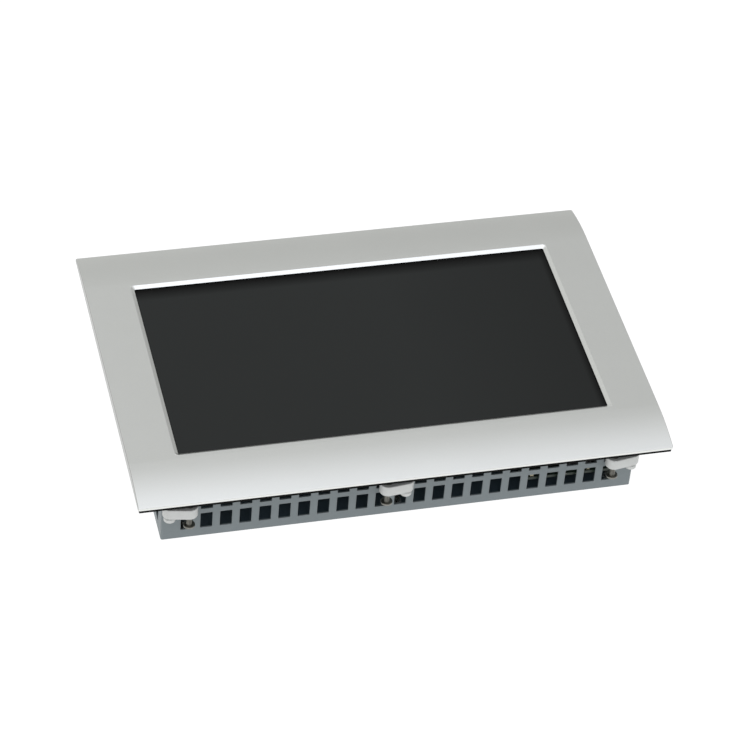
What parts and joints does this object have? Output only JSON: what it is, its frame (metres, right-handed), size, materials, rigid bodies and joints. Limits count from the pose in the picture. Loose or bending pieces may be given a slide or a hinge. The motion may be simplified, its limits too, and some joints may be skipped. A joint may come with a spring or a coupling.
{
  "type": "hmi touch panel",
  "caption": "Panel-mounted operator terminal with a curved metal bezel, a wide touch screen, a slotted sheet housing and swivel clamps.",
  "frame": {"origin": "the middle of the housing's rear face, which is the lowest plane when the terminal lies on its back", "axes": "+X to the right along the width as seen by the operator, +Y to the upper edge, +Z out of the screen"},
  "size_m": [0.275, 0.19, 0.0416],
  "materials": {
    "bezel_aluminium": "satin anodised",
    "gasket_rubber": "matt",
    "screen_glass": "anti-glare",
    "display": "gloss",
    "carrier_black": "matt black",
    "plated_steel": "zinc plated",
    "housing_steel": "smooth grey powder coat",
    "film_black": "matt",
    "board_green": "solder mask",
    "black_plastic": "matt",
    "heat_sink_black": "black anodised",
    "white_plastic": "matt",
    "gold_contact": "gold plated",
    "green_plastic": "matt",
    "label_foil": "satin foil",
    "spindle_steel": "zinc plated",
    "zinc_lug": "light grey die casting"
  },
  "bodies": {
    "panel": {"front_bezel": "bezel_aluminium", "sealing_gasket": "gasket_rubber", "glass_seal": "gasket_rubber", "touch_glass": "screen_glass", "screen_gasket": "gasket_rubber", "lcd_module": "display", "front_carrier": "carrier_black", "lcd_retainer": "plated_steel", "housing_shell": "housing_steel", "rear_cover": "housing_steel", "insulation_film": "film_black", "carrier_screws": "plated_steel", "retainer_screws": "plated_steel", "shell_screws": "plated_steel", "cover_screws": "plated_steel", "mainboard": "board_green", "power_board": "board_green", "board_standoffs": "plated_steel", "board_screws": "plated_steel", "processor": "black_plastic", "heat_sink": "heat_sink_black", "capacitors": "black_plastic", "power_inductor": "black_plastic", "battery_holder": "black_plastic", "coin_cell": "plated_steel", "lcd_cable": "white_plastic", "network_ports": "plated_steel", "usb_ports": "plated_steel", "usb_tongues": "white_plastic", "serial_port": "plated_steel", "serial_pins": "gold_contact", "serial_jackscrews": "plated_steel", "power_header": "green_plastic", "power_pins": "gold_contact", "reset_switch": "black_plastic", "rating_plate": "label_foil", "earth_screw": "plated_steel", "earth_washer": "plated_steel"},
    "power_plug": {"power_plug": "green_plastic", "plug_screws": "plated_steel"},
    "reset_button": {"reset_button": "black_plastic"},
    "bush_lower_left": {"bush_lower_left": "plated_steel"},
    "spindle_lower_left": {"spindle_lower_left": "spindle_steel"},
    "lug_lower_left": {"lug_lower_left": "zinc_lug"},
    "bush_lower_middle": {"bush_lower_middle": "plated_steel"},
    "spindle_lower_middle": {"spindle_lower_middle": "spindle_steel"},
    "lug_lower_middle": {"lug_lower_middle": "zinc_lug"},
    "bush_lower_right": {"bush_lower_right": "plated_steel"},
    "spindle_lower_right": {"spindle_lower_right": "spindle_steel"},
    "lug_lower_right": {"lug_lower_right": "zinc_lug"},
    "bush_upper_left": {"bush_upper_left": "plated_steel"},
    "spindle_upper_left": {"spindle_upper_left": "spindle_steel"},
    "lug_upper_left": {"lug_upper_left": "zinc_lug"},
    "bush_upper_middle": {"bush_upper_middle": "plated_steel"},
    "spindle_upper_middle": {"spindle_upper_middle": "spindle_steel"},
    "lug_upper_middle": {"lug_upper_middle": "zinc_lug"},
    "bush_upper_right": {"bush_upper_right": "plated_steel"},
    "spindle_upper_right": {"spindle_upper_right": "spindle_steel"},
    "lug_upper_right": {"lug_upper_right": "zinc_lug"}
  },
  "joints": [
    {"name": "power_plug_pull", "type": "slide", "parent": "panel", "child": "power_plug", "axis": [0, 0, -1], "range_m": [0, 0.012]},
    {"name": "reset_button_press", "type": "slide", "parent": "panel", "child": "reset_button", "axis": [0, 0, 1], "range_m": [0, 0.001], "stiffness_N_per_m": 400, "springref_m": -0.0005},
    {"name": "travel_lower_left", "type": "slide", "parent": "panel", "child": "bush_lower_left", "axis": [0, 0, 1], "range_m": [-0.0065, 0.00475]},
    {"name": "turn_lower_left", "type": "hinge", "parent": "panel", "child": "spindle_lower_left", "pos_m": [-0.11, -0.0865, 0.0248], "axis": [0, 0, 1], "range_deg": [-4681, 3421]},
    {"name": "swing_lower_left", "type": "hinge", "parent": "bush_lower_left", "child": "lug_lower_left", "pos_m": [-0.11, -0.0865, 0.0248], "axis": [0, 0, 1], "range_deg": [0, 97]},
    {"name": "travel_lower_middle", "type": "slide", "parent": "panel", "child": "bush_lower_middle", "axis": [0, 0, 1], "range_m": [-0.0065, 0.00475]},
    {"name": "turn_lower_middle", "type": "hinge", "parent": "panel", "child": "spindle_lower_middle", "pos_m": [-0.00885, -0.0865, 0.0248], "axis": [0, 0, 1], "range_deg": [-4681, 3421]},
    {"name": "swing_lower_middle", "type": "hinge", "parent": "bush_lower_middle", "child": "lug_lower_middle", "pos_m": [-0.00885, -0.0865, 0.0248], "axis": [0, 0, -1], "range_deg": [0, 93.5]},
    {"name": "travel_lower_right", "type": "slide", "parent": "panel", "child": "bush_lower_right", "axis": [0, 0, 1], "range_m": [-0.0065, 0.00475]},
    {"name": "turn_lower_right", "type": "hinge", "parent": "panel", "child": "spindle_lower_right", "pos_m": [0.11, -0.0865, 0.0248], "axis": [0, 0, 1], "range_deg": [-4681, 3421]},
    {"name": "swing_lower_right", "type": "hinge", "parent": "bush_lower_right", "child": "lug_lower_right", "pos_m": [0.11, -0.0865, 0.0248], "axis": [0, 0, -1], "range_deg": [0, 96]},
    {"name": "travel_upper_left", "type": "slide", "parent": "panel", "child": "bush_upper_left", "axis": [0, 0, 1], "range_m": [-0.0065, 0.00475]},
    {"name": "turn_upper_left", "type": "hinge", "parent": "panel", "child": "spindle_upper_left", "pos_m": [-0.11, 0.0865, 0.0248], "axis": [0, 0, 1], "range_deg": [-4681, 3421]},
    {"name": "swing_upper_left", "type": "hinge", "parent": "bush_upper_left", "child": "lug_upper_left", "pos_m": [-0.11, 0.0865, 0.0248], "axis": [0, 0, -1], "range_deg": [0, 97]},
    {"name": "travel_upper_middle", "type": "slide", "parent": "panel", "child": "bush_upper_middle", "axis": [0, 0, 1], "range_m": [-0.0065, 0.00475]},
    {"name": "turn_upper_middle", "type": "hinge", "parent": "panel", "child": "spindle_upper_middle", "pos_m": [-0.00885, 0.0865, 0.0248], "axis": [0, 0, 1], "range_deg": [-4681, 3421]},
    {"name": "swing_upper_middle", "type": "hinge", "parent": "bush_upper_middle", "child": "lug_upper_middle", "pos_m": [-0.00885, 0.0865, 0.0248], "axis": [0, 0, 1], "range_deg": [0, 93.5]},
    {"name": "travel_upper_right", "type": "slide", "parent": "panel", "child": "bush_upper_right", "axis": [0, 0, 1], "range_m": [-0.0065, 0.00475]},
    {"name": "turn_upper_right", "type": "hinge", "parent": "panel", "child": "spindle_upper_right", "pos_m": [0.11, 0.0865, 0.0248], "axis": [0, 0, 1], "range_deg": [-4681, 3421]},
    {"name": "swing_upper_right", "type": "hinge", "parent": "bush_upper_right", "child": "lug_upper_right", "pos_m": [0.11, 0.0865, 0.0248], "axis": [0, 0, 1], "range_deg": [0, 96]}
  ],
  "couplings": [
    {"joint": "turn_lower_left", "follows": "travel_lower_left", "rad_per_m": 12566},
    {"joint": "turn_lower_middle", "follows": "travel_lower_middle", "rad_per_m": 12566},
    {"joint": "turn_lower_right", "follows": "travel_lower_right", "rad_per_m": 12566},
    {"joint": "turn_upper_left", "follows": "travel_upper_left", "rad_per_m": 12566},
    {"joint": "turn_upper_middle", "follows": "travel_upper_middle", "rad_per_m": 12566},
    {"joint": "turn_upper_right", "follows": "travel_upper_right", "rad_per_m": 12566}
  ]
}
